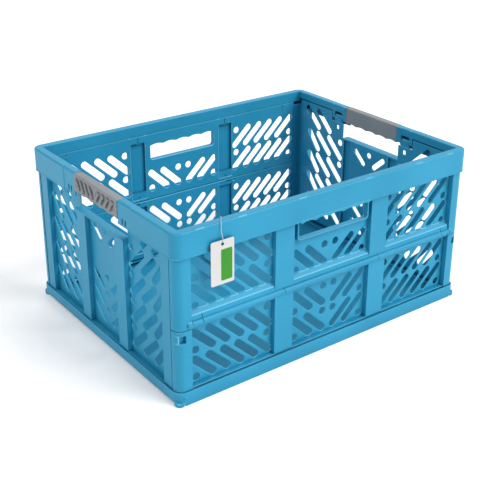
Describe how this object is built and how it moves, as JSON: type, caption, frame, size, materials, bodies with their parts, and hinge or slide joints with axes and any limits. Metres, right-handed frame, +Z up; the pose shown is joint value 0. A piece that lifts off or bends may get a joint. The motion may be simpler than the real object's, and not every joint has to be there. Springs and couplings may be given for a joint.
{
  "type": "collapsible storage crate",
  "caption": "Open-topped folding storage crate with slotted sides split at mid-height, swing-up end flaps, a deep top rim and soft hand grips.",
  "frame": {"origin": "centre of the footprint, on the surface the crate stands on", "axes": "+X along the long sides, +Y across the crate towards the back long side, +Z up"},
  "size_m": [0.53, 0.4052, 0.2522],
  "materials": {
    "polypropylene": "satin moulded polypropylene, sky blue",
    "soft_grip": "matt soft-touch elastomer, grey",
    "steel": "drawn wire",
    "card": "coated white card, blank",
    "thread": "thin twisted thread"
  },
  "bodies": {
    "base": {"base_tray": "polypropylene", "base_hinge_rod_front": "steel", "base_hinge_rod_back": "steel"},
    "lower_front": {"lower_side_front": "polypropylene", "mid_hinge_rod_front": "steel"},
    "upper_front": {"upper_side_front": "polypropylene"},
    "lower_back": {"lower_side_back": "polypropylene", "mid_hinge_rod_back": "steel"},
    "upper_back": {"upper_side_back": "polypropylene"},
    "frame": {"top_frame": "polypropylene", "grip_left": "soft_grip", "grip_right": "soft_grip", "frame_hinge_rod_front": "steel", "frame_hinge_rod_back": "steel", "flap_pin_left_a": "steel", "flap_pin_left_b": "steel", "flap_pin_right_a": "steel", "flap_pin_right_b": "steel", "hang_tag": "card", "tag_eyelet": "steel", "tag_thread": "thread"},
    "flap_left": {"end_flap_left": "polypropylene"},
    "flap_right": {"end_flap_right": "polypropylene"}
  },
  "joints": [
    {"name": "side_fold", "type": "hinge", "parent": "base", "child": "lower_front", "pos_m": [0, -0.1886, 0.0095], "axis": [-1, 0, 0], "range_deg": [0, 0.9]},
    {"name": "front_mid_hinge", "type": "hinge", "parent": "lower_front", "child": "upper_front", "pos_m": [0, -0.195, 0.117], "axis": [-1, 0, 0], "range_deg": [-1.8, 0]},
    {"name": "front_frame_hinge", "type": "hinge", "parent": "upper_front", "child": "frame", "pos_m": [0, -0.1886, 0.2245], "axis": [-1, 0, 0], "range_deg": [0, 0.9]},
    {"name": "back_base_hinge", "type": "hinge", "parent": "base", "child": "lower_back", "pos_m": [0, 0.1886, 0.0095], "axis": [1, 0, 0], "range_deg": [0, 0.9]},
    {"name": "back_mid_hinge", "type": "hinge", "parent": "lower_back", "child": "upper_back", "pos_m": [0, 0.195, 0.117], "axis": [1, 0, 0], "range_deg": [-1.8, 0]},
    {"name": "left_flap_hinge", "type": "hinge", "parent": "frame", "child": "flap_left", "pos_m": [-0.255, 0, 0.23], "axis": [0, -1, 0], "range_deg": [0, 90]},
    {"name": "right_flap_hinge", "type": "hinge", "parent": "frame", "child": "flap_right", "pos_m": [0.255, 0, 0.23], "axis": [0, 1, 0], "range_deg": [0, 90]}
  ],
  "couplings": [
    {"joint": "front_mid_hinge", "follows": "side_fold", "ratio": -2},
    {"joint": "front_frame_hinge", "follows": "side_fold", "ratio": 1},
    {"joint": "back_base_hinge", "follows": "side_fold", "ratio": 1},
    {"joint": "back_mid_hinge", "follows": "side_fold", "ratio": -2}
  ]
}
